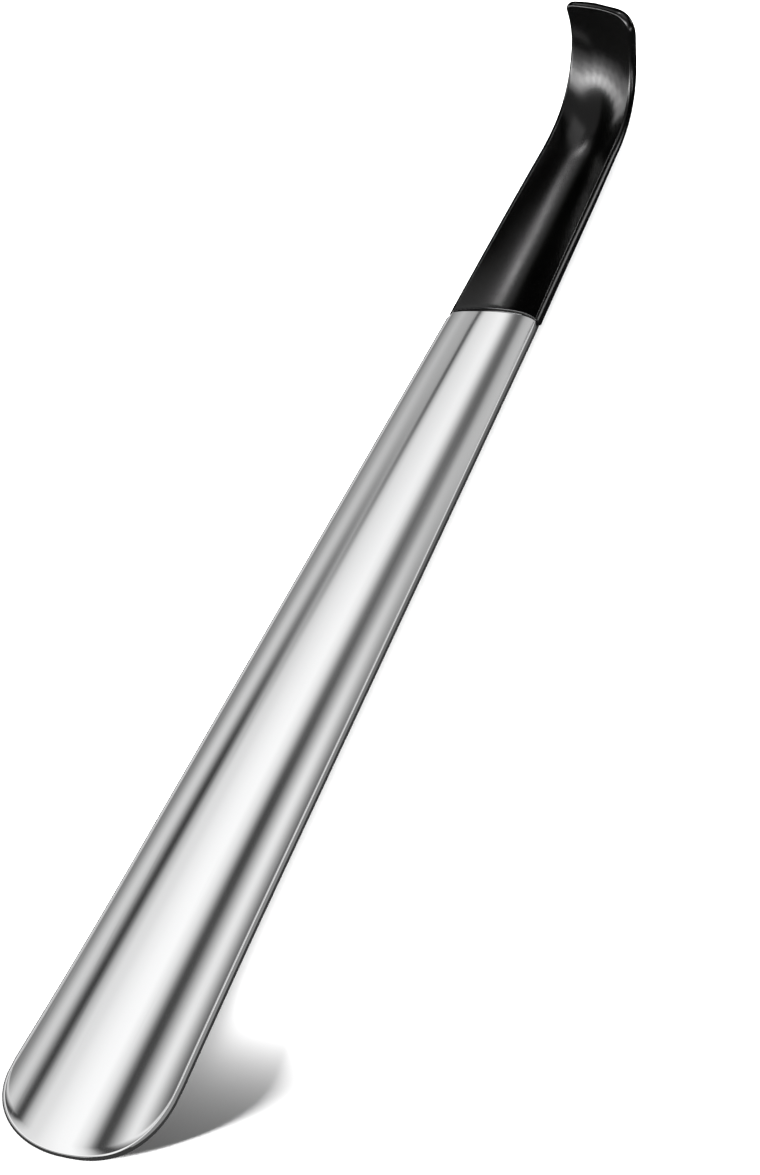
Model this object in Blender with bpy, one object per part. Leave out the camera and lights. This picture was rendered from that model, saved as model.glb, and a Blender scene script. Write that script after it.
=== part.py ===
"""Long shoehorn: a channel blade of polished sheet steel whose tang is bonded into a moulded plastic handle.

World frame: metres, +Z up. The shoehorn lies on its convex back with its hollow side up. +Y runs from the
blade's rounded tip to the handle, X runs across it, and it is symmetric about the YZ plane but for the hook,
which turns a little about its own length. The origin is under the middle of its length, on the surface it
lies on.

Every face is a sheet of points over one reference surface, the hollow face of the steel. A point has a
distance s along the back line from the tip, an angle a round the channel, and a depth below that face.
"""

import math

import bmesh
import bpy
from mathutils import Vector

MM = 0.001

# Blade
SHEET = 2.0 * MM  # thickness of the steel
MOUTH = 311.5 * MM  # where the steel enters the handle, at the channel's edges
TANG_END = 358.0 * MM
TANG_SHARE = 0.5  # the tang's share of the channel's width
WIDTH_AT_MOUTH = 27.0 * MM  # blade width at the mouth
TAPER = 0.063  # width lost per length
FLARE = 1.2 * MM  # extra half width that spreads the tip
FLARE_LENGTH = 88.0 * MM
TIP_LENGTH = 22.8 * MM  # depth of the rounded tip
TIP_POWER = 2.45  # superellipse power of the tip's outline
RADIUS_AT_TIP = 50.0 * MM  # channel radius of the hollow face
RADIUS_AT_MOUTH = 25.3 * MM
EDGE_BULGE = 0.6 * MM  # how far the rounded edges stand out of the plain outline

# Handle
ARCH = 6.0 * MM  # rise of the mouth's edge in the middle of the channel
ARCH_REACH = 60.0 * MM  # how far up the handle the arch fades out
BEND_START = 385.0 * MM
BEND_END = 443.8 * MM  # the bend would go on a little past the hook's tip
BEND_ANGLE = math.radians(86.0)
BEND_EASE = 0.37  # 0 is a plain arc, 1 starts and ends the bend with no curvature
END = 441.4 * MM  # tip of the hook, along the back line
RADIUS_AT_BEND = 13.5 * MM
RADIUS_AT_END = 28.6 * MM
OPENING_POWER = 1.55  # how late the channel opens out along the hook
HALF_WIDTH_AT_MOUTH = 12.8 * MM
HALF_WIDTH_AT_BEND = 10.14 * MM
HALF_WIDTH_AT_END = 10.3 * MM
HOOK_FLARE = 1.4 * MM  # extra half width that spreads the hook's end
HOOK_FLARE_LENGTH = 14.0 * MM
HOOK_TURN = math.radians(14.7)  # how far the hook turns about its own length by its end
TURN_PIVOT = 1.2 * MM  # height of the line it turns about, over the steel's hollow face
LIP_MIDDLE = 0.8 * MM  # handle's hollow face above the steel's, in the middle
LIP_EDGE = 0.3 * MM
BACK_MIDDLE = 3.4 * MM  # handle's back below the steel's hollow face, in the middle
BACK_EDGE = 2.5 * MM
HOOK_BACK_MIDDLE = 2.2 * MM  # the same at the hook, which holds no tang
HOOK_BACK_EDGE = 2.1 * MM
EDGE_POWER = 4  # how close to the sides the sheet changes from its middle to its edge thickness
THIN_FROM = 360.0 * MM
THIN_TO = 400.0 * MM
CHAMFER = 0.35 * MM  # round the mouth
CHAMFER_LENGTH = 0.7 * MM
NEAR_CORNER = (1.8 * MM, 1.5 * MM)  # rounding of the hook's corner on the -X side, across it and along it
FAR_CORNER = (6.0 * MM, 7.0 * MM)  # and on the +X side
HOOK_CORNER_REACH = 18.0 * MM

# Clearances and the bond line
MOUTH_GAP = 0.3 * MM
POCKET_FRONT = 0.12 * MM
POCKET_BACK = 0.45 * MM
POCKET_SIDE = 0.35 * MM
POCKET_END_GAP = 1.0 * MM
CUTTER_OVERRUN = 8.0 * MM  # how far the pocket's cutter stands out of the mouth
BOND_START = MOUTH + 10.0 * MM
BOND_END = TANG_END - 2.0 * MM
BOND_SHARE = 0.5
BOND_TOP = 0.12 * MM  # gap between the tang's back and the bond
BOND_THICKNESS = 0.2 * MM

# The flat strips along the back that the shoehorn rests on, as depths cut off the round
BLADE_STRIP = 0.12 * MM
HANDLE_STRIP = 0.25 * MM

COLUMNS = 20
BLADE_ROWS = 26
TANG_ROWS = 4
SHEATH_ROWS = 7
HOOK_ROWS = 24
PATCH_COLUMNS = 12
POCKET_ROWS = 12
BOND_ROWS = 6
RIM_ANGLES = (45.0, 90.0, 135.0)
BACK_LINE_STEPS = 400
SHARP_ANGLE = math.radians(35.0)


def ease(value, start, end):
    """0 before start, 1 after end, and smooth between them."""
    u = min(max((value - start) / (end - start), 0.0), 1.0)
    return u * u * (3.0 - 2.0 * u)


def ramp(value, start, end):
    return min(max((value - start) / (end - start), 0.0), 1.0)


def mix(first, second, share):
    return first + (second - first) * share


def channel_radius(s):
    """Radius of the steel's hollow face, carried on through the handle."""
    if s <= MOUTH:
        return mix(RADIUS_AT_TIP, RADIUS_AT_MOUTH, s / MOUTH)
    if s <= BEND_START:
        return 1.0 / mix(1.0 / RADIUS_AT_MOUTH, 1.0 / RADIUS_AT_BEND, ramp(s, MOUTH, BEND_START))
    opening = ramp(s, BEND_START, END) ** OPENING_POWER
    return 1.0 / mix(1.0 / RADIUS_AT_BEND, 1.0 / RADIUS_AT_END, opening)


def blade_half_width(s):
    straight = (WIDTH_AT_MOUTH + TAPER * (MOUTH - s)) / 2.0
    flare = FLARE * max(0.0, 1.0 - s / FLARE_LENGTH) ** 2
    return straight + flare - EDGE_BULGE


def handle_half_width(s):
    at_bend = mix(HALF_WIDTH_AT_MOUTH, HALF_WIDTH_AT_BEND, ramp(s, MOUTH, BEND_START))
    flare = HOOK_FLARE * ramp(s, END - HOOK_FLARE_LENGTH, END) ** 2
    return mix(at_bend, HALF_WIDTH_AT_END, ease(s, BEND_START, END)) + flare


def face_height(s):
    """Height of the steel's hollow face over the back line. The handle's back is lower than the blade's, so
    the blade slopes down from the mouth until its tip touches the same surface."""
    at_tip = SHEET - BLADE_STRIP
    at_mouth = BACK_MIDDLE - HANDLE_STRIP
    return mix(at_tip, at_mouth, ramp(s, 0.0, MOUTH))


def bend_heading(s):
    u = ramp(s, BEND_START, BEND_END)
    return BEND_ANGLE * (u - BEND_EASE * math.sin(2.0 * math.pi * u) / (2.0 * math.pi))


def trace_back_line():
    """(distance, y, z) along the bent stretch of the back line, by small straight steps."""
    step = (END - BEND_START) / BACK_LINE_STEPS
    line = [(BEND_START, BEND_START, 0.0)]
    for _ in range(BACK_LINE_STEPS):
        s, y, z = line[-1]
        heading = bend_heading(s + step / 2.0)
        line.append((s + step, y + step * math.cos(heading), z + step * math.sin(heading)))
    return line


BACK_LINE = trace_back_line()


def place(s, x, height):
    """World point at a distance along the back line, across it, and above it."""
    if s <= BEND_START:
        return Vector((x, s, height))
    steps = (s - BEND_START) / (END - BEND_START) * BACK_LINE_STEPS
    first = min(int(steps), BACK_LINE_STEPS - 1)
    share = steps - first
    _, y0, z0 = BACK_LINE[first]
    _, y1, z1 = BACK_LINE[first + 1]
    heading = bend_heading(s)
    y = mix(y0, y1, share) - height * math.sin(heading)
    z = mix(z0, z1, share) + height * math.cos(heading)
    return Vector((x, y, z))


def channel_point(s, angle, depth, lowest=None):
    """A point below the steel's hollow face. Where lowest is given, the channel's back is cut flat there."""
    radius = channel_radius(s)
    x = (radius + depth) * math.sin(angle)
    height = face_height(s) + radius - (radius + depth) * math.cos(angle)
    if lowest is not None:
        height = max(height, lowest)
    turn = HOOK_TURN * ease(s, BEND_START, END)
    pivot = face_height(s) + TURN_PIVOT
    rise = height - pivot
    turned_x = x * math.cos(turn) - rise * math.sin(turn)
    turned_rise = x * math.sin(turn) + rise * math.cos(turn)
    return place(s, turned_x, pivot + turned_rise)


def column_shares():
    """Shares of the half angle across the channel from -1 to 1, closer together towards the edges."""
    shares = []
    for column in range(COLUMNS + 1):
        u = 2.0 * column / COLUMNS - 1.0
        shares.append(0.5 * u + 0.5 * math.sin(math.pi / 2.0 * u))
    return shares


SHARES = column_shares()


def mouth_line(share):
    return MOUTH + ARCH * (1.0 - share * share)


def tip_line(share):
    """Where the rounded tip ends, along the back line, at a share of the half width."""
    inside = max(0.0, 1.0 - abs(share) ** TIP_POWER)
    return EDGE_BULGE + TIP_LENGTH * (1.0 - inside ** (1.0 / TIP_POWER))


def blade_angle(s, share):
    return share * math.asin(blade_half_width(s) / channel_radius(s))


def steel_face(depth, lowest=False):
    """One face of the steel as points by row and column: the blade, then the narrower tang."""
    points = {}
    neck = [c for c in range(COLUMNS + 1) if abs(SHARES[c]) <= TANG_SHARE]
    rows = BLADE_ROWS + TANG_ROWS
    for row in range(rows + 1):
        columns = range(COLUMNS + 1) if row <= BLADE_ROWS else neck
        for column in columns:
            share = SHARES[column]
            shoulder = mouth_line(share) - MOUTH_GAP
            if row <= BLADE_ROWS:
                s = mix(tip_line(share), shoulder, row / BLADE_ROWS)
            else:
                s = mix(shoulder, TANG_END, (row - BLADE_ROWS) / TANG_ROWS)
            floor = face_height(s) - SHEET + BLADE_STRIP if lowest else None
            points[row, column] = channel_point(s, blade_angle(s, share), depth, floor)
    return points


def tang_angle(s, share):
    """Angle of a share of the tang's half width, at a place along the tang."""
    widest = max(SHARES[c] for c in range(COLUMNS + 1) if abs(SHARES[c]) <= TANG_SHARE)
    return share * blade_angle(s, widest)


def strip_face(start, end, rows, share_of_tang, side, depth):
    """A plain patch over the tang, such as a face of the pocket or of the bond."""
    points = {}
    for row in range(rows + 1):
        s = mix(start, end, row / rows)
        for column in range(PATCH_COLUMNS + 1):
            share = 2.0 * column / PATCH_COLUMNS - 1.0
            reach = side / (channel_radius(s) + depth) * share
            points[row, column] = channel_point(s, tang_angle(s, share * share_of_tang) + reach, depth)
    return points


def handle_stations():
    """(distance, chamfer) of each row of the handle, closer together round the bend."""
    stations = [(MOUTH, CHAMFER), (MOUTH + CHAMFER_LENGTH, 0.0)]
    stations += [(mix(MOUTH, BEND_START, k / SHEATH_ROWS), 0.0) for k in range(1, SHEATH_ROWS)]
    stations += [(mix(BEND_START, END, k / HOOK_ROWS), 0.0) for k in range(HOOK_ROWS + 1)]
    return stations


def hook_corner(share):
    """How far the hook's end draws back at a share of its half width, to round the corner on that side."""
    width, length = FAR_CORNER if share > 0.0 else NEAR_CORNER
    over = max(0.0, 1.0 - (1.0 - abs(share)) * HALF_WIDTH_AT_END / width)
    return length * (1.0 - math.sqrt(1.0 - over * over))


def handle_distance(station, share):
    """Distance along the back line of a row's point: the mouth is arched and the hook's corners are round."""
    start = (mouth_line(share) - MOUTH) * (1.0 - ramp(station, MOUTH, MOUTH + ARCH_REACH)) ** 2
    return station + start - hook_corner(share) * ramp(station, END - HOOK_CORNER_REACH, END) ** 2


def handle_face(hollow_side):
    """The handle's hollow face or its back, as points by row and column."""
    points = {}
    for row, (station, chamfer) in enumerate(handle_stations()):
        for column, share in enumerate(SHARES):
            s = handle_distance(station, share)
            angle = share * math.asin(handle_half_width(s) / channel_radius(s))
            edge = share**EDGE_POWER
            thin = ease(s, THIN_FROM, THIN_TO)
            if hollow_side:
                depth = -mix(LIP_MIDDLE, LIP_EDGE, edge) + chamfer
                points[row, column] = channel_point(s, angle, depth)
            else:
                middle = mix(BACK_MIDDLE, HOOK_BACK_MIDDLE, thin)
                rim = mix(BACK_EDGE, HOOK_BACK_EDGE, thin)
                depth = mix(middle, rim, edge)
                lowest = face_height(s) - middle + HANDLE_STRIP + chamfer
                points[row, column] = channel_point(s, angle, depth - chamfer, lowest)
    return points


def boundary_of(cells):
    """The corner keys round a patch of cells, in order, with the patch on the left."""
    directed = set()
    for cell in cells:
        for k in range(4):
            directed.add((cell[k], cell[(k + 1) % 4]))
    following = {a: b for a, b in directed if (b, a) not in directed}
    loop = [min(following)]
    while following[loop[-1]] != loop[0]:
        loop.append(following[loop[-1]])
    return loop


def closed_sheet(name, front, back, bulge=0.0, plain=()):
    """One closed body between two faces that share their keys, with edges that bulge out in a round."""
    mesh = bmesh.new()
    top = {key: mesh.verts.new(point) for key, point in front.items()}
    bottom = {key: mesh.verts.new(point) for key, point in back.items()}
    cells = []
    for row, column in front:
        cell = [(row, column), (row, column + 1), (row + 1, column + 1), (row + 1, column)]
        if all(key in front for key in cell):
            cells.append(cell)
    for cell in cells:
        mesh.faces.new([top[key] for key in cell])
        mesh.faces.new([bottom[key] for key in reversed(cell)])
    loop = boundary_of(cells)
    rings = [top]
    for angle in RIM_ANGLES if bulge else ():
        turn = math.radians(angle)
        ring = {}
        for k, key in enumerate(loop):
            along = front[loop[(k + 1) % len(loop)]] - front[loop[k - 1]]
            outward = along.cross(front[key] - back[key]).normalized()
            reach = 0.0 if key in plain else bulge * math.sin(turn)
            middle = front[key].lerp(back[key], (1.0 - math.cos(turn)) / 2.0)
            ring[key] = mesh.verts.new(middle + outward * reach)
        rings.append(ring)
    rings.append(bottom)
    for upper, lower in zip(rings, rings[1:]):
        for k, key in enumerate(loop):
            after = loop[(k + 1) % len(loop)]
            mesh.faces.new([upper[after], upper[key], lower[key], lower[after]])
    return finish_mesh(name, mesh)


def finish_mesh(name, mesh):
    data = bpy.data.meshes.new(name)
    mesh.to_mesh(data)
    mesh.free()
    data.shade_smooth()
    data.set_sharp_from_angle(angle=SHARP_ANGLE)
    thing = bpy.data.objects.new(name, data)
    bpy.context.scene.collection.objects.link(thing)
    return thing


def material(name, colour, metallic, roughness):
    made = bpy.data.materials.new(name)
    made.use_nodes = True
    shader = made.node_tree.nodes["Principled BSDF"]
    shader.inputs["Base Color"].default_value = (*colour, 1.0)
    shader.inputs["Metallic"].default_value = metallic
    shader.inputs["Roughness"].default_value = roughness
    return made


def make_blade():
    """Steel pressing: channel, rounded tip and tang in one. Its shoulders and tang are cut square."""
    front = steel_face(0.0)
    back = steel_face(SHEET, lowest=True)
    square = {key for key in front if key[0] >= BLADE_ROWS}
    blade = closed_sheet("blade", front, back, EDGE_BULGE, square)
    blade.data.materials.append(material("polished_steel", (0.72, 0.73, 0.74), 1.0, 0.08))
    return blade


def make_pocket_cutter():
    """The space that the tang and its bond fill, run out through the mouth so that it cuts clean."""
    start = MOUTH - CUTTER_OVERRUN
    end = TANG_END + POCKET_END_GAP
    front = strip_face(start, end, POCKET_ROWS, 1.0, POCKET_SIDE, -POCKET_FRONT)
    back = strip_face(start, end, POCKET_ROWS, 1.0, POCKET_SIDE, SHEET + POCKET_BACK)
    cutter = closed_sheet("pocket_cutter", front, back)
    cutter.hide_render = True
    cutter.display_type = "WIRE"
    return cutter


def make_handle():
    """Plastic moulding: a sheath over the tang that runs on into the scooped hook."""
    front = handle_face(True)
    back = handle_face(False)
    square = {key for key in front if key[0] == 0}
    handle = closed_sheet("handle", front, back, EDGE_BULGE, square)
    handle.data.materials.append(material("black_plastic", (0.012, 0.012, 0.013), 0.0, 0.18))
    pocket = handle.modifiers.new("pocket", "BOOLEAN")
    pocket.operation = "DIFFERENCE"
    pocket.solver = "EXACT"
    pocket.object = make_pocket_cutter()
    return handle


def make_bond():
    """Film of adhesive between the tang's back and the pocket's floor."""
    top = SHEET + BOND_TOP
    front = strip_face(BOND_START, BOND_END, BOND_ROWS, BOND_SHARE, 0.0, top)
    back = strip_face(BOND_START, BOND_END, BOND_ROWS, BOND_SHARE, 0.0, top + BOND_THICKNESS)
    bond = closed_sheet("tang_adhesive", front, back)
    bond.data.materials.append(material("cured_adhesive", (0.55, 0.52, 0.44), 0.0, 0.5))
    return bond


def centre_on_origin(things):
    """Moves every mesh so that the assembled object's length is centred on the origin and it rests on z = 0."""
    visible = [thing for thing in things if not thing.hide_render]
    points = [vertex.co for thing in visible for vertex in thing.data.vertices]
    middle = (min(p.y for p in points) + max(p.y for p in points)) / 2.0
    lowest = min(p.z for p in points)
    for thing in things:
        for vertex in thing.data.vertices:
            vertex.co -= Vector((0.0, middle, lowest))


def main():
    for thing in list(bpy.data.objects):
        bpy.data.objects.remove(thing, do_unlink=True)
    blade = make_blade()
    handle = make_handle()
    bond = make_bond()
    centre_on_origin([blade, handle, bond, handle.modifiers["pocket"].object])


main()
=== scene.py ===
"""Looks of a long shoehorn: a polished steel channel blade in a glossy black plastic handle with a hook.

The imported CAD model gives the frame: metres, +Z up, +Y from the blade's tip to the handle. The blade and the
handle are built again here from the same driving dimensions as the CAD, on a finer grid and with rounded
edges. Every face is a sheet of points over one reference surface, the hollow face of the steel. A point has a
distance s along the back line from the tip, an angle round the channel, and a depth below that face.
"""

import math

import bmesh
import bpy
from mathutils import Matrix, Vector


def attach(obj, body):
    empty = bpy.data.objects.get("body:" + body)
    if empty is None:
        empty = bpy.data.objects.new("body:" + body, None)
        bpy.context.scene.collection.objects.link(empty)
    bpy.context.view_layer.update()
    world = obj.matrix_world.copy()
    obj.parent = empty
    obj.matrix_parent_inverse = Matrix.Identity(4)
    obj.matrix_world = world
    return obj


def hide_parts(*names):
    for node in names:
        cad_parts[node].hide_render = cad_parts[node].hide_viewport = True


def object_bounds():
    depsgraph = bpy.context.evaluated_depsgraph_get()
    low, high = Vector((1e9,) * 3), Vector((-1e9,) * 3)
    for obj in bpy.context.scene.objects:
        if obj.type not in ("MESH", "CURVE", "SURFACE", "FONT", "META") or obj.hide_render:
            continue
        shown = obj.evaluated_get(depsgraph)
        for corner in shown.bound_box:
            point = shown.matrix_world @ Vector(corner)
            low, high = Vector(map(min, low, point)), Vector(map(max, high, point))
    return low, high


MM = 0.001

# Blade, as in the CAD
SHEET = 2.0 * MM
MOUTH = 311.5 * MM
TANG_END = 358.0 * MM
TANG_SHARE = 0.5
WIDTH_AT_MOUTH = 27.0 * MM
TAPER = 0.063
FLARE = 1.2 * MM
FLARE_LENGTH = 88.0 * MM
TIP_LENGTH = 22.8 * MM
TIP_POWER = 2.45
RADIUS_AT_TIP = 50.0 * MM
RADIUS_AT_MOUTH = 25.3 * MM
EDGE_BULGE = 0.6 * MM

# Handle, as in the CAD
ARCH = 6.0 * MM
ARCH_REACH = 60.0 * MM
BEND_START = 385.0 * MM
BEND_END = 443.8 * MM
BEND_ANGLE = math.radians(86.0)
BEND_EASE = 0.37
END = 441.4 * MM
RADIUS_AT_BEND = 13.5 * MM
RADIUS_AT_END = 28.6 * MM
OPENING_POWER = 1.55
HALF_WIDTH_AT_MOUTH = 12.8 * MM
HALF_WIDTH_AT_BEND = 10.14 * MM
HALF_WIDTH_AT_END = 10.3 * MM
HOOK_FLARE = 1.4 * MM
HOOK_FLARE_LENGTH = 14.0 * MM
HOOK_TURN = math.radians(14.7)
TURN_PIVOT = 1.2 * MM
LIP_MIDDLE = 0.8 * MM
LIP_EDGE = 0.3 * MM
BACK_MIDDLE = 3.4 * MM
BACK_EDGE = 2.5 * MM
HOOK_BACK_MIDDLE = 2.2 * MM
HOOK_BACK_EDGE = 2.1 * MM
EDGE_POWER = 4
THIN_FROM = 360.0 * MM
THIN_TO = 400.0 * MM
NEAR_CORNER = (1.8 * MM, 1.5 * MM)
FAR_CORNER = (6.0 * MM, 7.0 * MM)
HOOK_CORNER_REACH = 18.0 * MM
BLADE_STRIP = 0.12 * MM
HANDLE_STRIP = 0.25 * MM

# Pocket for the tang, as in the CAD
MOUTH_GAP = 0.3 * MM
POCKET_FRONT = 0.12 * MM
POCKET_BACK = 0.45 * MM
POCKET_SIDE = 0.35 * MM
POCKET_END_GAP = 1.0 * MM
CUTTER_OVERRUN = 8.0 * MM

# Finer than the CAD
LIP_ROUND = 0.5 * MM  # radius of the handle's edges at the mouth, across the sheet
LIP_ROUND_LENGTH = 0.6 * MM
LIP_ROUND_ROWS = 5
COLUMNS = 80
BLADE_ROWS = 130
TANG_ROWS = 16
SHEATH_ROWS = 36
HOOK_ROWS = 72
RIM_RINGS = 9
POCKET_ROWS = 16
POCKET_COLUMNS = 16
BACK_LINE_STEPS = 800
SHARP_ANGLE = math.radians(35.0)

# Materials. A pattern's scale is per metre, and its stretch is along X, Y and Z. Depths are in metres.
CLOUD_RANGE = (0.3, 0.7)  # the part of a noise's range that roughness follows
SMUDGE_SCALE = 28.0
SMUDGE_STRETCH = (1.0, 0.5, 1.0)
POLISH_SCALE = 2600.0
POLISH_STRETCH = (1.0, 0.02, 1.0)
POLISH_DEPTH = 0.6e-6
SCRATCH_SCALE = 900.0
SCRATCH_STRETCH = (1.0, 0.012, 1.0)
SCRATCH_RANGE = (0.66, 0.74)  # only the noise's highest ridges are scratches
SCRATCH_DEPTH = 0.8e-6
SCRATCH_ROUGHNESS = 0.05
STEEL_TONES = ((0.79, 0.795, 0.80), (0.85, 0.85, 0.85))
STEEL_ROUGHNESS = (0.07, 0.10)
CLOUD_SCALE = 45.0
PEEL_SCALE = 620.0
PEEL_DEPTH = 5.0e-6
GRAIN_SCALE = 5200.0
GRAIN_DEPTH = 0.8e-6
PLASTIC_TONES = ((0.0015, 0.0015, 0.0018), (0.003, 0.003, 0.003))
PLASTIC_ROUGHNESS = (0.18, 0.23)
PLASTIC_IOR = 1.52
PLASTIC_SPECULAR = 0.45
ADHESIVE_SCALE = 300.0
ADHESIVE_TONES = ((0.50, 0.46, 0.36), (0.62, 0.58, 0.48))
ADHESIVE_ROUGHNESS = (0.4, 0.6)
ADHESIVE_DEPTH = 20.0e-6
PAPER_WHITE = 0.92
PAPER_ROUGHNESS = 0.9
PAPER_SPECULAR = 0.1

# Studio. A direction is (azimuth, elevation) in degrees. The tent's stops are (degrees round from +X over the
# top, radiance), as the steel mirrors them.
# The tent's stops, the arc's lights and the streak's place were read off the photo's brightness by mirrored
# angle and then rounded. They are no independent design.
FLOOR_RADIUS = 12.0
FLOOR_SIDES = 96
WORLD_IN_REFLECTIONS = 0.04
FLOOR_IN_REFLECTIONS = 0.05
GRIP = (0.0, 0.14, 0.0)
HOOK = (0.0, 0.20, 0.015)
STREAK_PLACE = (-0.055, 0.425, 0.302)
STREAK_WIDTH = 0.02
STREAK_STEP = 0.035
STREAK_TURN = math.radians(-64.0)
STREAK_RADIANCE = (12.0, 15.0, 11.0, 6.0, 2.0)  # of the small lights, in order along the row
ARC_DISTANCE = 0.8
ARC_SIZE = (0.21, 0.20)
ARC_FADE = (  # (degrees below the arc, share of its radiance) of rows that fade it towards the hook's end
    (11.0, 0.36),
    (21.0, 0.11),
)
ARC = (  # (azimuth, elevation, radiance) of the lights in the arc, as seen from the hook
    (-60.0, 64.0, 3.5),
    (-75.0, 59.0, 5.5),
    (-90.0, 54.0, 8.0),
    (-105.0, 48.0, 10.5),
    (-120.0, 42.0, 11.5),
    (-135.0, 37.0, 10.0),
    (-150.0, 32.0, 8.5),
    (-165.0, 26.0, 6.5),
    (-180.0, 19.0, 4.5),
    (-194.0, 13.0, 2.8),
)
PLASTIC_LIGHTS = (  # (name, target, direction, distance, size, radiance)
    ("hook_edge", HOOK, (-103.0, 3.0), 0.8, (0.24, 0.10), 0.7),
    ("hook_rim", HOOK, (-35.0, 24.0), 1.2, (0.9, 0.12), 7.0),
    ("rim", GRIP, (50.0, 20.0), 1.2, (0.45, 0.25), 4.5),
    ("glow", GRIP, (78.0, 60.0), 0.8, (0.35, 0.28), 0.9),
    ("tail", GRIP, (118.0, 43.0), 0.8, (0.22, 0.20), 0.6),
    ("top", GRIP, (-90.0, 85.0), 1.0, (1.3, 1.3), 0.34),
)
OVERHEAD = (-90.0, 90.0)
FILL_EDGE = -0.163  # along Y. The floor past it, by the tip, has little fill, so the key's shadow shows
FILL_HEIGHT = 0.018
FILL_SIZE = (16.0, 10.0)
FILL_RADIANCE = 2.4
KEY_TARGET = (0.0, -0.19, 0.0)
KEY_DIRECTION = (217.0, 13.0)
KEY_DISTANCE = 3.0
KEY_SIZE = (0.2, 0.55)
KEY_RADIANCE = 1300.0
TENT_RADIUS = 1.6
TENT_REACH = 4.0
TENT_SIDES = 90
TENT_STRENGTH = 1.5
TENT_CHANGE = (1.05, 1.42)  # along Y, from the stretch that the tip mirrors to the one the neck mirrors
TENT_FOR_TIP = (
    (0.0, 0.30),
    (51.5, 0.30),
    (66.0, 0.22),
    (69.5, 0.30),
    (72.5, 0.60),
    (75.0, 0.78),
    (77.5, 0.70),
    (80.0, 0.38),
    (82.5, 0.08),
    (84.5, 0.03),
    (86.5, 0.22),
    (88.5, 0.56),
    (93.5, 0.88),
    (98.5, 0.90),
    (103.5, 1.02),
    (111.5, 1.13),
    (119.5, 1.18),
    (126.5, 0.93),
    (130.5, 0.60),
    (133.5, 0.25),
    (136.5, 0.06),
    (141.0, 0.08),
    (144.0, 0.27),
    (149.0, 0.62),
    (153.0, 0.88),
    (156.5, 1.00),
    (160.0, 0.88),
    (164.0, 0.62),
    (168.5, 0.34),
    (172.5, 0.16),
    (177.5, 0.12),
)
TENT_FOR_NECK = (
    (51.5, 0.15),
    (61.5, 0.20),
    (67.5, 0.47),
    (72.5, 0.60),
    (78.5, 0.50),
    (83.5, 0.48),
    (88.0, 0.42),
    (89.5, 0.10),
    (91.5, 0.10),
    (93.5, 0.50),
    (95.5, 0.68),
    (98.5, 0.86),
    (103.5, 0.91),
    (111.5, 0.98),
    (119.5, 1.06),
    (125.5, 1.02),
    (129.5, 0.83),
    (133.5, 0.60),
    (137.5, 0.33),
    (141.5, 0.18),
    (147.5, 0.13),
    (151.5, 0.18),
    (155.5, 0.35),
    (159.5, 0.49),
    (165.5, 0.56),
    (173.5, 0.60),
    (179.5, 0.50),
)

# Camera, at the photograph's viewing angle
AZIMUTH = math.radians(32.30)
ELEVATION = math.radians(42.32)
ROLL = math.radians(-15.75)
DISTANCE = 1.3528
LOOK_AT = (0.0, -1.23 * MM, 0.0)
LENS = 150.07
SHIFT = (0.0068, -0.0099)


def ease(value, start, end):
    """0 before start, 1 after end, and smooth between them."""
    u = ramp(value, start, end)
    return u * u * (3.0 - 2.0 * u)


def ramp(value, start, end):
    return min(max((value - start) / (end - start), 0.0), 1.0)


def mix(first, second, share):
    return first + (second - first) * share


def channel_radius(s):
    """Radius of the steel's hollow face, carried on through the handle."""
    if s <= MOUTH:
        return mix(RADIUS_AT_TIP, RADIUS_AT_MOUTH, s / MOUTH)
    if s <= BEND_START:
        return 1.0 / mix(1.0 / RADIUS_AT_MOUTH, 1.0 / RADIUS_AT_BEND, ramp(s, MOUTH, BEND_START))
    opening = ramp(s, BEND_START, END) ** OPENING_POWER
    return 1.0 / mix(1.0 / RADIUS_AT_BEND, 1.0 / RADIUS_AT_END, opening)


def blade_half_width(s):
    straight = (WIDTH_AT_MOUTH + TAPER * (MOUTH - s)) / 2.0
    flare = FLARE * max(0.0, 1.0 - s / FLARE_LENGTH) ** 2
    return straight + flare - EDGE_BULGE


def handle_half_width(s):
    at_bend = mix(HALF_WIDTH_AT_MOUTH, HALF_WIDTH_AT_BEND, ramp(s, MOUTH, BEND_START))
    flare = HOOK_FLARE * ramp(s, END - HOOK_FLARE_LENGTH, END) ** 2
    return mix(at_bend, HALF_WIDTH_AT_END, ease(s, BEND_START, END)) + flare


def face_height(s):
    """Height of the steel's hollow face over the back line."""
    return mix(SHEET - BLADE_STRIP, BACK_MIDDLE - HANDLE_STRIP, ramp(s, 0.0, MOUTH))


def bend_heading(s):
    u = ramp(s, BEND_START, BEND_END)
    return BEND_ANGLE * (u - BEND_EASE * math.sin(2.0 * math.pi * u) / (2.0 * math.pi))


def trace_back_line():
    """(y, z) along the bent stretch of the back line, by small straight steps."""
    step = (END - BEND_START) / BACK_LINE_STEPS
    line = [(BEND_START, 0.0)]
    for count in range(BACK_LINE_STEPS):
        y, z = line[-1]
        heading = bend_heading(BEND_START + (count + 0.5) * step)
        line.append((y + step * math.cos(heading), z + step * math.sin(heading)))
    return line


BACK_LINE = trace_back_line()


def place(s, x, height):
    """Point at a distance along the back line, across it, and above it."""
    if s <= BEND_START:
        return Vector((x, s, height))
    steps = ramp(s, BEND_START, END) * BACK_LINE_STEPS
    first = min(int(steps), BACK_LINE_STEPS - 1)
    y0, z0 = BACK_LINE[first]
    y1, z1 = BACK_LINE[first + 1]
    heading = bend_heading(s)
    y = mix(y0, y1, steps - first) - height * math.sin(heading)
    z = mix(z0, z1, steps - first) + height * math.cos(heading)
    return Vector((x, y, z))


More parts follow.
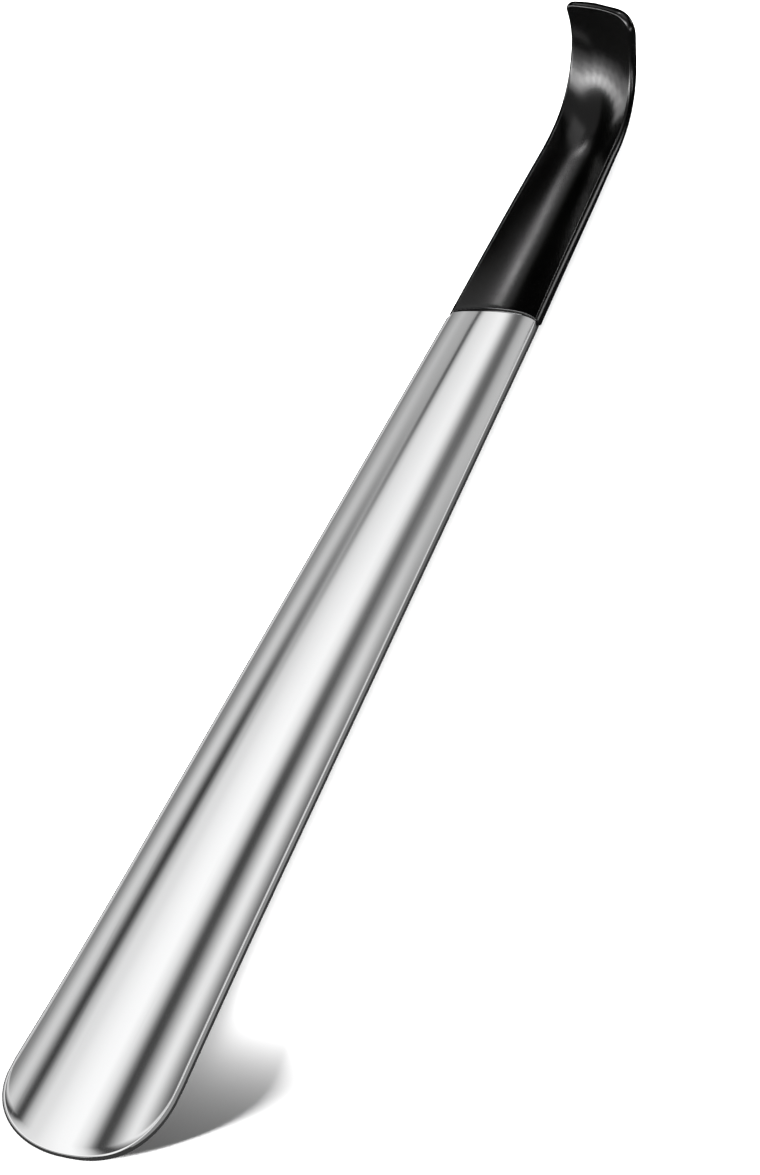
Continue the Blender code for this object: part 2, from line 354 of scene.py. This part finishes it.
def channel_point(s, angle, depth, lowest=None):
    """A point below the steel's hollow face. Where lowest is given, the channel's back is cut flat there."""
    radius = channel_radius(s)
    x = (radius + depth) * math.sin(angle)
    height = face_height(s) + radius - (radius + depth) * math.cos(angle)
    if lowest is not None:
        height = max(height, lowest)
    turn = HOOK_TURN * ease(s, BEND_START, END)
    pivot = face_height(s) + TURN_PIVOT
    rise = height - pivot
    turned_x = x * math.cos(turn) - rise * math.sin(turn)
    turned_rise = x * math.sin(turn) + rise * math.cos(turn)
    return place(s, turned_x, pivot + turned_rise)


def column_shares():
    """Shares of the half angle across the channel from -1 to 1, closer together towards the edges."""
    shares = []
    for column in range(COLUMNS + 1):
        u = 2.0 * column / COLUMNS - 1.0
        shares.append(0.5 * u + 0.5 * math.sin(math.pi / 2.0 * u))
    return shares


SHARES = column_shares()
NECK = [c for c in range(COLUMNS + 1) if abs(SHARES[c]) <= TANG_SHARE]


def mouth_line(share):
    return MOUTH + ARCH * (1.0 - share * share)


def tip_line(share):
    """Where the rounded tip ends, along the back line, at a share of the half width."""
    inside = max(0.0, 1.0 - abs(share) ** TIP_POWER)
    return EDGE_BULGE + TIP_LENGTH * (1.0 - inside ** (1.0 / TIP_POWER))


def blade_angle(s, share):
    return share * math.asin(blade_half_width(s) / channel_radius(s))


def steel_face(depth, flat_back=False):
    """One face of the steel as points by row and column: the blade, then the narrower tang."""
    points = {}
    for row in range(BLADE_ROWS + TANG_ROWS + 1):
        for column in range(COLUMNS + 1) if row <= BLADE_ROWS else NECK:
            share = SHARES[column]
            shoulder = mouth_line(share) - MOUTH_GAP
            if row <= BLADE_ROWS:
                s = mix(tip_line(share), shoulder, row / BLADE_ROWS)
            else:
                s = mix(shoulder, TANG_END, (row - BLADE_ROWS) / TANG_ROWS)
            lowest = face_height(s) - SHEET + BLADE_STRIP if flat_back else None
            points[row, column] = channel_point(s, blade_angle(s, share), depth, lowest)
    return points


def pocket_face(depth):
    """The front or the back of the space that the tang fills, run out through the mouth."""
    points = {}
    widest = SHARES[NECK[-1]]
    for row in range(POCKET_ROWS + 1):
        s = mix(MOUTH - CUTTER_OVERRUN, TANG_END + POCKET_END_GAP, row / POCKET_ROWS)
        for column in range(POCKET_COLUMNS + 1):
            share = 2.0 * column / POCKET_COLUMNS - 1.0
            reach = POCKET_SIDE / (channel_radius(s) + depth) * share
            points[row, column] = channel_point(s, blade_angle(s, share * widest) + reach, depth)
    return points


def handle_stations():
    """(distance, inset) of each row of the handle. The first few rows round its edges at the mouth."""
    stations = []
    for row in range(LIP_ROUND_ROWS + 1):
        turn = math.pi / 2.0 * row / LIP_ROUND_ROWS
        distance = MOUTH + LIP_ROUND_LENGTH * (1.0 - math.cos(turn))
        stations.append((distance, LIP_ROUND * (1.0 - math.sin(turn))))
    start = MOUTH + LIP_ROUND_LENGTH
    stations += [(mix(start, BEND_START, k / SHEATH_ROWS), 0.0) for k in range(1, SHEATH_ROWS)]
    stations += [(mix(BEND_START, END, k / HOOK_ROWS), 0.0) for k in range(HOOK_ROWS + 1)]
    return stations


def hook_corner(share):
    """How far the hook's end draws back at a share of its half width, to round the corner on that side."""
    width, length = FAR_CORNER if share > 0.0 else NEAR_CORNER
    over = max(0.0, 1.0 - (1.0 - abs(share)) * HALF_WIDTH_AT_END / width)
    return length * (1.0 - math.sqrt(1.0 - over * over))


def handle_distance(station, share):
    """Distance along the back line of a row's point: the mouth is arched and the hook's corners are round."""
    start = (mouth_line(share) - MOUTH) * (1.0 - ramp(station, MOUTH, MOUTH + ARCH_REACH)) ** 2
    return station + start - hook_corner(share) * ramp(station, END - HOOK_CORNER_REACH, END) ** 2


def handle_face(hollow_side):
    """The handle's hollow face or its back, as points by row and column."""
    points = {}
    for row, (station, inset) in enumerate(handle_stations()):
        for column, share in enumerate(SHARES):
            s = handle_distance(station, share)
            angle = share * math.asin(handle_half_width(s) / channel_radius(s))
            edge = share**EDGE_POWER
            if hollow_side:
                depth = -mix(LIP_MIDDLE, LIP_EDGE, edge) + inset
                points[row, column] = channel_point(s, angle, depth)
            else:
                thin = ease(s, THIN_FROM, THIN_TO)
                middle = mix(BACK_MIDDLE, HOOK_BACK_MIDDLE, thin)
                depth = mix(middle, mix(BACK_EDGE, HOOK_BACK_EDGE, thin), edge)
                lowest = face_height(s) - middle + HANDLE_STRIP + inset
                points[row, column] = channel_point(s, angle, depth - inset, lowest)
    return points


def boundary_of(cells):
    """The corner keys round a patch of cells, in order, with the patch on the left."""
    directed = {(cell[k], cell[(k + 1) % 4]) for cell in cells for k in range(4)}
    following = {a: b for a, b in directed if (b, a) not in directed}
    loop = [min(following)]
    while following[loop[-1]] != loop[0]:
        loop.append(following[loop[-1]])
    return loop


def rim_rings(mesh, front, back, loop, bulge, plain):
    """Rings of vertices that carry the edge from the front face to the back in a round."""
    rings = []
    for step in range(1, RIM_RINGS + 1):
        turn = math.pi * step / (RIM_RINGS + 1)
        ring = {}
        for k, key in enumerate(loop):
            along = front[loop[(k + 1) % len(loop)]] - front[loop[k - 1]]
            outward = along.cross(front[key] - back[key]).normalized()
            reach = 0.0 if key in plain else bulge * math.sin(turn)
            middle = front[key].lerp(back[key], (1.0 - math.cos(turn)) / 2.0)
            ring[key] = mesh.verts.new(middle + outward * reach)
        rings.append(ring)
    return rings


def closed_sheet(name, front, back, bulge=0.0, plain=()):
    """One closed body between two faces that share their keys. Its edges bulge out, except where plain."""
    mesh = bmesh.new()
    top = {key: mesh.verts.new(point) for key, point in front.items()}
    bottom = {key: mesh.verts.new(point) for key, point in back.items()}
    cells = []
    for row, column in front:
        cell = [(row, column), (row, column + 1), (row + 1, column + 1), (row + 1, column)]
        if all(key in front for key in cell):
            cells.append(cell)
            mesh.faces.new([top[key] for key in cell])
            mesh.faces.new([bottom[key] for key in reversed(cell)])
    loop = boundary_of(cells)
    rings = rim_rings(mesh, front, back, loop, bulge, plain) if bulge else []
    rings = [top, *rings, bottom]
    for upper, lower in zip(rings, rings[1:]):
        for k, key in enumerate(loop):
            after = loop[(k + 1) % len(loop)]
            mesh.faces.new([upper[after], upper[key], lower[key], lower[after]])
    data = bpy.data.meshes.new(name)
    mesh.to_mesh(data)
    mesh.free()
    thing = bpy.data.objects.new(name, data)
    bpy.context.scene.collection.objects.link(thing)
    return thing


def smooth(thing):
    thing.data.shade_smooth()
    thing.data.set_sharp_from_angle(angle=SHARP_ANGLE)


def into_frame(thing):
    """Moves a mesh from the back line's own coordinates to where the CAD model has it."""
    shift = Vector((0.0, *CAD_BOX[0][1:]))
    for vertex in thing.data.vertices:
        vertex.co += shift


def cut_pocket(handle):
    """Cuts the space for the tang out of the handle, and keeps the result as its mesh."""
    cutter = closed_sheet("pocket", pocket_face(-POCKET_FRONT), pocket_face(SHEET + POCKET_BACK))
    modifier = handle.modifiers.new("pocket", "BOOLEAN")
    modifier.operation = "DIFFERENCE"
    modifier.solver = "EXACT"
    modifier.object = cutter
    graph = bpy.context.evaluated_depsgraph_get()
    cut = bpy.data.meshes.new_from_object(handle.evaluated_get(graph))
    handle.modifiers.clear()
    handle.data = cut
    cut.name = "plastic_handle"
    bpy.data.objects.remove(cutter, do_unlink=True)


def add(tree, kind, **settings):
    """A new node with its properties set."""
    made = tree.nodes.new(kind)
    for key, value in settings.items():
        setattr(made, key, value)
    return made


def new_material(name):
    made = bpy.data.materials.new(name)
    made.use_nodes = True
    tree = made.node_tree
    return made, tree, tree.nodes["Principled BSDF"]


def noise(tree, scale, stretch=(1.0, 1.0, 1.0), detail=3.0, roughness=0.5):
    """A noise pattern in the object's own metres, stretched along its axes. Gives its factor."""
    place_at = add(tree, "ShaderNodeTexCoord")
    mapping = add(tree, "ShaderNodeMapping")
    mapping.inputs["Scale"].default_value = stretch
    texture = add(tree, "ShaderNodeTexNoise")
    texture.inputs["Scale"].default_value = scale
    texture.inputs["Detail"].default_value = detail
    texture.inputs["Roughness"].default_value = roughness
    tree.links.new(place_at.outputs["Object"], mapping.inputs["Vector"])
    tree.links.new(mapping.outputs["Vector"], texture.inputs["Vector"])
    return texture.outputs["Fac"]


def spread(tree, value, before, after):
    """Maps one (low, high) range of a value onto another, and keeps it inside."""
    mapped = add(tree, "ShaderNodeMapRange")
    names = ("From Min", "From Max", "To Min", "To Max")
    for name, number in zip(names, (*before, *after)):
        mapped.inputs[name].default_value = number
    tree.links.new(value, mapped.inputs["Value"])
    return mapped.outputs["Result"]


def combine(tree, operation, first, second):
    made = add(tree, "ShaderNodeMath", operation=operation)
    for value, socket in zip((first, second), made.inputs):
        tree.links.new(value, socket)
    return made.outputs["Value"]


def colour_mix(tree, share):
    """A mix node driven by share: its two colour inputs and its colour output."""
    made = add(tree, "ShaderNodeMix", data_type="RGBA")
    tree.links.new(share, made.inputs["Factor"])
    first, second, mixed = [
        socket for socket in (*made.inputs, *made.outputs) if socket.type == "RGBA"
    ]
    return first, second, mixed


def blend_tones(tree, share, tones):
    first, second, mixed = colour_mix(tree, share)
    first.default_value = (*tones[0], 1.0)
    second.default_value = (*tones[1], 1.0)
    return mixed


def bump(tree, height, distance, before=None):
    made = add(tree, "ShaderNodeBump")
    made.inputs["Strength"].default_value = 1.0
    made.inputs["Distance"].default_value = distance
    tree.links.new(height, made.inputs["Height"])
    if before is not None:
        tree.links.new(before, made.inputs["Normal"])
    return made.outputs["Normal"]


def steel_material():
    """Mirror-polished steel: fine polishing lines along the blade, faint smudges and a few hair scratches."""
    made, tree, shader = new_material("polished_steel")
    smudges = noise(tree, SMUDGE_SCALE, SMUDGE_STRETCH, detail=4.0, roughness=0.6)
    lines = noise(tree, POLISH_SCALE, POLISH_STRETCH, detail=2.0)
    hairs = noise(tree, SCRATCH_SCALE, SCRATCH_STRETCH, detail=1.0)
    scratch = spread(tree, hairs, SCRATCH_RANGE, (0.0, 1.0))
    tree.links.new(blend_tones(tree, smudges, STEEL_TONES), shader.inputs["Base Color"])
    shader.inputs["Metallic"].default_value = 1.0
    base = spread(tree, smudges, CLOUD_RANGE, STEEL_ROUGHNESS)
    worn = spread(tree, scratch, (0.0, 1.0), (0.0, SCRATCH_ROUGHNESS))
    tree.links.new(combine(tree, "ADD", base, worn), shader.inputs["Roughness"])
    fine = bump(tree, lines, POLISH_DEPTH)
    tree.links.new(bump(tree, scratch, -SCRATCH_DEPTH, fine), shader.inputs["Normal"])
    return made


def plastic_material():
    """Glossy black moulded plastic: a faint orange peel, slight changes of gloss and finger smudges."""
    made, tree, shader = new_material("black_plastic")
    clouds = noise(tree, CLOUD_SCALE, detail=4.0, roughness=0.6)
    peel = noise(tree, PEEL_SCALE, detail=1.0)
    grain = noise(tree, GRAIN_SCALE, detail=2.0)
    tree.links.new(blend_tones(tree, clouds, PLASTIC_TONES), shader.inputs["Base Color"])
    tree.links.new(spread(tree, clouds, CLOUD_RANGE, PLASTIC_ROUGHNESS), shader.inputs["Roughness"])
    shader.inputs["IOR"].default_value = PLASTIC_IOR
    shader.inputs["Specular IOR Level"].default_value = PLASTIC_SPECULAR
    fine = bump(tree, grain, GRAIN_DEPTH)
    tree.links.new(bump(tree, peel, PEEL_DEPTH, fine), shader.inputs["Normal"])
    return made


def adhesive_material():
    """Cured adhesive: cream, cloudy and slightly uneven."""
    made, tree, shader = new_material("cured_adhesive")
    clouds = noise(tree, ADHESIVE_SCALE)
    tree.links.new(blend_tones(tree, clouds, ADHESIVE_TONES), shader.inputs["Base Color"])
    tree.links.new(spread(tree, clouds, CLOUD_RANGE, ADHESIVE_ROUGHNESS), shader.inputs["Roughness"])
    tree.links.new(bump(tree, clouds, ADHESIVE_DEPTH), shader.inputs["Normal"])
    return made


def dress(thing, material, node):
    thing.data.materials.clear()
    thing.data.materials.append(material)
    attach(thing, "root")
    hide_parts(node)


def make_blade():
    """Steel pressing: channel, rounded tip and tang. Its shoulders and tang are cut square."""
    front = steel_face(0.0)
    back = steel_face(SHEET, flat_back=True)
    square = {key for key in front if key[0] >= BLADE_ROWS}
    blade = closed_sheet("steel_blade", front, back, EDGE_BULGE, square)
    into_frame(blade)
    smooth(blade)
    dress(blade, steel_material(), "blade")
    return blade


def make_handle():
    """Plastic moulding: a sheath over the tang that runs on into the scooped hook."""
    front = handle_face(True)
    back = handle_face(False)
    square = {key for key in front if key[0] == 0}
    handle = closed_sheet("plastic_handle", front, back, EDGE_BULGE, square)
    cut_pocket(handle)
    into_frame(handle)
    smooth(handle)
    dress(handle, plastic_material(), "handle")
    return handle


def finish_adhesive(frame):
    bond = frame["nodes"]["tang_adhesive"]
    bond.data.materials.clear()
    bond.data.materials.append(adhesive_material())


def new_stage_object(name, mesh, material):
    """An object of the studio, from a bmesh that it uses up."""
    data = bpy.data.meshes.new(name)
    mesh.to_mesh(data)
    mesh.free()
    data.materials.append(material)
    thing = bpy.data.objects.new(name, data)
    bpy.context.scene.collection.objects.link(thing)
    return thing


def floor_material():
    """White paper that looks darker in reflections, as if the polished steel stood in less light."""
    made, tree, shader = new_material("floor_paper")
    shader.inputs["Base Color"].default_value = (PAPER_WHITE,) * 3 + (1.0,)
    shader.inputs["Roughness"].default_value = PAPER_ROUGHNESS
    shader.inputs["Specular IOR Level"].default_value = PAPER_SPECULAR
    dim = add(tree, "ShaderNodeEmission")
    dim.inputs["Color"].default_value = (FLOOR_IN_REFLECTIONS,) * 3 + (1.0,)
    path = add(tree, "ShaderNodeLightPath")
    choice = add(tree, "ShaderNodeMixShader")
    share, seen, mirrored = choice.inputs
    tree.links.new(path.outputs["Is Glossy Ray"], share)
    tree.links.new(shader.outputs["BSDF"], seen)
    tree.links.new(dim.outputs["Emission"], mirrored)
    tree.links.new(choice.outputs["Shader"], tree.nodes["Material Output"].inputs["Surface"])
    return made


def make_floor():
    mesh = bmesh.new()
    bmesh.ops.create_circle(mesh, cap_ends=True, radius=FLOOR_RADIUS, segments=FLOOR_SIDES)
    return new_stage_object("floor", mesh, floor_material())


def make_world():
    """White to the camera, and dim in reflections."""
    world = bpy.data.worlds.new("studio")
    world.use_nodes = True
    tree = world.node_tree
    background = tree.nodes["Background"]
    path = add(tree, "ShaderNodeLightPath")
    strength = spread(tree, path.outputs["Is Camera Ray"], (0.0, 1.0), (WORLD_IN_REFLECTIONS, 1.0))
    tree.links.new(strength, background.inputs["Strength"])
    background.inputs["Color"].default_value = (1.0, 1.0, 1.0, 1.0)
    bpy.context.scene.world = world


def only_on(light, receiver):
    """The light falls on this piece alone."""
    group = bpy.data.collections.new(light.name + "_receivers")
    group.objects.link(receiver)
    light.light_linking.receiver_collection = group


def tent_ramp(tree, angle, stops):
    """Brightness round the tent, from (degrees, radiance) pairs."""
    ramp_node = add(tree, "ShaderNodeValToRGB")
    elements = ramp_node.color_ramp.elements
    elements.remove(elements[1])
    for count, (degrees, radiance) in enumerate(stops):
        element = elements[0] if count == 0 else elements.new(degrees / 180.0)
        element.position = degrees / 180.0
        element.color = (radiance / TENT_STRENGTH,) * 3 + (1.0,)
    tree.links.new(angle, ramp_node.inputs["Fac"])
    return ramp_node.outputs["Color"]


def tent_material():
    """Light strips along the tent with dark gaps between them. They change along it, so that the blade's tip
    and its neck mirror different ones."""
    made = bpy.data.materials.new("tent_light")
    made.use_nodes = True
    tree = made.node_tree
    tree.nodes.remove(tree.nodes["Principled BSDF"])
    where = add(tree, "ShaderNodeTexCoord")
    parts = add(tree, "ShaderNodeSeparateXYZ")
    tree.links.new(where.outputs["Object"], parts.inputs["Vector"])
    angle = combine(tree, "ARCTAN2", parts.outputs["Z"], parts.outputs["X"])
    round_tent = spread(tree, angle, (0.0, math.pi), (0.0, 1.0))
    along_tent = spread(tree, parts.outputs["Y"], TENT_CHANGE, (0.0, 1.0))
    first, second, mixed = colour_mix(tree, along_tent)
    tree.links.new(tent_ramp(tree, round_tent, TENT_FOR_TIP), first)
    tree.links.new(tent_ramp(tree, round_tent, TENT_FOR_NECK), second)
    glow = add(tree, "ShaderNodeEmission")
    glow.inputs["Strength"].default_value = TENT_STRENGTH
    tree.links.new(mixed, glow.inputs["Color"])
    tree.links.new(glow.outputs["Emission"], tree.nodes["Material Output"].inputs["Surface"])
    made.cycles.emission_sampling = "NONE"
    return made


def make_tent(steel):
    """A half round light tent over the object, along Y. Only the steel mirrors it."""
    mesh = bmesh.new()
    rings = []
    for y in (-TENT_REACH, TENT_REACH):
        ring = []
        for step in range(TENT_SIDES + 1):
            turn = math.pi * step / TENT_SIDES
            ring.append(mesh.verts.new((TENT_RADIUS * math.cos(turn), y, TENT_RADIUS * math.sin(turn))))
        rings.append(ring)
    for k in range(TENT_SIDES):
        mesh.faces.new([rings[0][k], rings[0][k + 1], rings[1][k + 1], rings[1][k]])
    tent = new_stage_object("light_tent", mesh, tent_material())
    tent.visible_camera = False
    tent.visible_diffuse = False
    tent.visible_shadow = False
    only_on(tent, steel)


def facing(azimuth, elevation):
    """Axes of a light that stands in a direction, in degrees, and faces back: level, upright, outwards."""
    turn = math.radians(azimuth)
    rise = math.radians(elevation)
    away = Vector((math.cos(turn) * math.cos(rise), math.sin(turn) * math.cos(rise), math.sin(rise)))
    level = Vector((-math.sin(turn), math.cos(turn), 0.0))
    return Matrix((level, away.cross(level), away)).transposed().to_4x4(), away


def area_light(name, size, radiance, receiver, mirrored_only=True):
    """A rectangular light that the camera can't see. It falls on the receiver, by default as a mirror image
    alone and not as diffuse light."""
    light = bpy.data.lights.new(name, "AREA")
    light.shape = "RECTANGLE"
    light.size, light.size_y = size
    light.energy = math.pi * size[0] * size[1] * radiance
    thing = bpy.data.objects.new(name, light)
    bpy.context.scene.collection.objects.link(thing)
    thing.visible_camera = False
    thing.visible_diffuse = not mirrored_only
    only_on(thing, receiver)
    return thing


def softbox(name, target, direction, distance, size, radiance, receiver, mirrored_only=True):
    """An area light in a direction (azimuth, elevation) from its target, which it faces."""
    thing = area_light(name, size, radiance, receiver, mirrored_only)
    rotation, away = facing(*direction)
    thing.matrix_world = Matrix.Translation(Vector(target) + distance * away) @ rotation
    return thing


def light_streak(handle):
    """A row of small lights near the handle, set askew. Its mirror image is the streak down the channel."""
    place_at = Vector(STREAK_PLACE)
    away = (place_at - Vector(GRIP)).normalized()
    across = Vector((0.0, 1.0, 0.0)).cross(away).normalized()
    rotation = Matrix((across, away.cross(across), away)).transposed().to_4x4()
    turned = Matrix.Translation(place_at) @ rotation @ Matrix.Rotation(STREAK_TURN, 4, "Z")
    middle = (len(STREAK_RADIANCE) - 1) / 2.0
    for count, radiance in enumerate(STREAK_RADIANCE):
        light = area_light("streak_%d" % count, (STREAK_WIDTH, STREAK_STEP), radiance, handle)
        light.matrix_world = turned @ Matrix.Translation((0.0, (count - middle) * STREAK_STEP, 0.0))


def light_arc(handle):
    """A bow of softboxes that the hook's hollow mirrors, with dimmer rows below it."""
    for azimuth, elevation, radiance in ARC:
        for below, share in ((0.0, 1.0), *ARC_FADE):
            name = "arc_%d_%d" % (azimuth, below)
            direction = (azimuth, elevation - below)
            softbox(name, HOOK, direction, ARC_DISTANCE, ARC_SIZE, radiance * share, handle)


def light_plastic(handle):
    """Lights that only the plastic mirrors: the streak, the arc inside the hook, its rims and a dim glow."""
    light_streak(handle)
    light_arc(handle)
    for settings in PLASTIC_LIGHTS:
        softbox(*settings, handle)


def light_floor(floor):
    """A low fill over all of the floor but the tip's end, and a low key whose soft shadow shows by the tip.
    The object's shadow is left out of the fill."""
    below = (0.0, FILL_EDGE + FILL_SIZE[1] / 2.0, 0.0)
    settings = ("fill", below, OVERHEAD, FILL_HEIGHT, FILL_SIZE, FILL_RADIANCE)
    fill = softbox(*settings, floor, mirrored_only=False)
    blockers = bpy.data.collections.new("fill_blockers")
    blockers.objects.link(floor)
    fill.light_linking.blocker_collection = blockers
    settings = ("key", KEY_TARGET, KEY_DIRECTION, KEY_DISTANCE, KEY_SIZE, KEY_RADIANCE)
    softbox(*settings, floor, mirrored_only=False)


def make_camera():
    data = bpy.data.cameras.new("camera")
    data.lens = LENS
    data.shift_x, data.shift_y = SHIFT
    back = Vector(
        (
            math.sin(AZIMUTH) * math.cos(ELEVATION),
            -math.cos(AZIMUTH) * math.cos(ELEVATION),
            math.sin(ELEVATION),
        )
    )
    level = Vector((math.cos(AZIMUTH), math.sin(AZIMUTH), 0.0))
    upright = back.cross(level)
    right = math.cos(ROLL) * level + math.sin(ROLL) * upright
    up = math.cos(ROLL) * upright - math.sin(ROLL) * level
    camera = bpy.data.objects.new("camera", data)
    bpy.context.scene.collection.objects.link(camera)
    turn = Matrix((right, up, back)).transposed().to_4x4()
    camera.matrix_world = Matrix.Translation(Vector(LOOK_AT) + back * DISTANCE) @ turn
    bpy.context.scene.camera = camera


def corners(box):
    return [list(corner) for corner in box]


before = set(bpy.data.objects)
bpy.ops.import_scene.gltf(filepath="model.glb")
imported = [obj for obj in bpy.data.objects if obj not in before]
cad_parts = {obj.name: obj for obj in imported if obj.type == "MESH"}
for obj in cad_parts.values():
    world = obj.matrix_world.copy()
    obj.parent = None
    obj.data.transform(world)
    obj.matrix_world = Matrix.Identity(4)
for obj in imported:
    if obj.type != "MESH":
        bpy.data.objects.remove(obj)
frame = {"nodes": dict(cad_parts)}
CAD_BOX = corners(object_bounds())
blade = make_blade()
handle = make_handle()
finish_adhesive(frame)
floor = make_floor()
make_world()
make_tent(blade)
light_plastic(handle)
light_floor(floor)
make_camera()
bpy.context.scene.view_settings.view_transform = "Standard"
